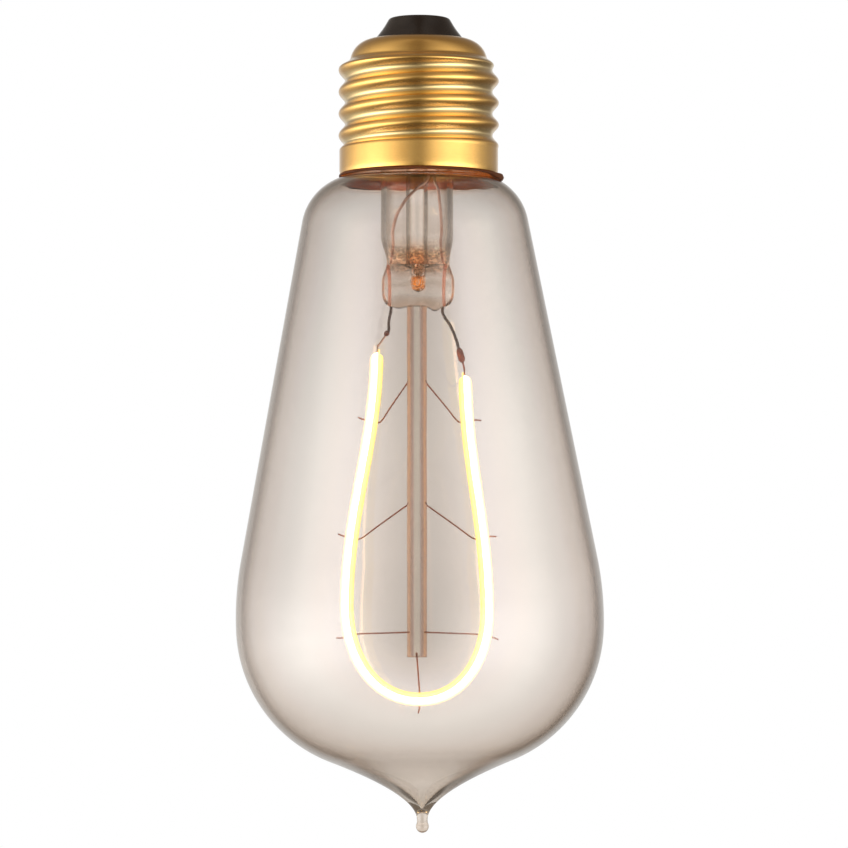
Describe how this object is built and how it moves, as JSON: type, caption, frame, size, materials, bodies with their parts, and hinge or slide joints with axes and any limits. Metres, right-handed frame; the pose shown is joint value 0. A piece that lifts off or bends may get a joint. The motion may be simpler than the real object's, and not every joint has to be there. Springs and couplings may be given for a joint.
{
  "type": "led filament bulb",
  "caption": "Teardrop glass bulb with a drawn tip on a brass screw cap; inside, a stem and mount rod carry one long LED filament bent in a U.",
  "frame": {"origin": "centre of the centre contact's outer face, on the lamp's axis", "axes": "+Z along the lamp's axis, out of the cap; the bulb hangs along -Z and the bent filament lies in the XZ plane, seen from -Y"},
  "size_m": [0.0602, 0.0602, 0.134],
  "materials": {
    "brass": "satin lacquered brass, bright on the crests",
    "insulator": "near black glassy insulator",
    "contact": "tinned contact disc",
    "solder": "dull solder",
    "cement": "brown capping cement",
    "bulb_glass": "clear glass with a faint warm grey tint",
    "stem_glass": "clear lead glass",
    "copper": "bare copper wire",
    "seal_wire": "copper-sheathed seal wire, red in the glass",
    "inner_wire": "dark nickel wire",
    "joint_metal": "red-brown crimp",
    "terminal_metal": "thin copper tab and tail",
    "support_wire": "thin dark molybdenum wire",
    "backing": "flexible circuit backing",
    "chip": "blue LED chip",
    "outer_phosphor": "silicone with yellow phosphor, lit white",
    "inner_phosphor": "silicone with yellow phosphor, lit yellow",
    "board": "green circuit board",
    "black_plastic": "moulded chip package",
    "capacitor_sleeve": "plain dark sleeve",
    "resistor": "lacquered resistor body",
    "red_sleeve": "red wire insulation",
    "black_sleeve": "black wire insulation"
  },
  "bodies": {
    "root": {"screw_shell": "brass", "insulator": "insulator", "contact_eyelet": "contact", "contact_solder": "solder", "cap_cement": "cement", "glass_envelope": "bulb_glass", "stem_flare": "stem_glass", "stem_press": "stem_glass", "exhaust_tube": "stem_glass", "mount_rod": "stem_glass", "left_outer_lead": "copper", "right_outer_lead": "copper", "left_seal_wire": "seal_wire", "right_seal_wire": "seal_wire", "left_inner_lead": "inner_wire", "right_inner_lead": "inner_wire", "left_joint": "joint_metal", "right_joint": "joint_metal", "left_terminal": "terminal_metal", "right_terminal": "terminal_metal", "filament_backing": "backing", "led_chips": "chip", "outer_phosphor": "outer_phosphor", "inner_phosphor": "inner_phosphor", "upper_left_support": "support_wire", "upper_right_support": "support_wire", "middle_left_support": "support_wire", "middle_right_support": "support_wire", "lower_left_support": "support_wire", "lower_right_support": "support_wire", "bottom_support": "support_wire", "driver_board": "board", "rectifier": "black_plastic", "smoothing_capacitor": "capacitor_sleeve", "current_chip": "black_plastic", "fuse_resistor": "resistor", "centre_wire": "red_sleeve", "side_wire": "black_sleeve", "side_solder": "solder"}
  },
  "joints": []
}
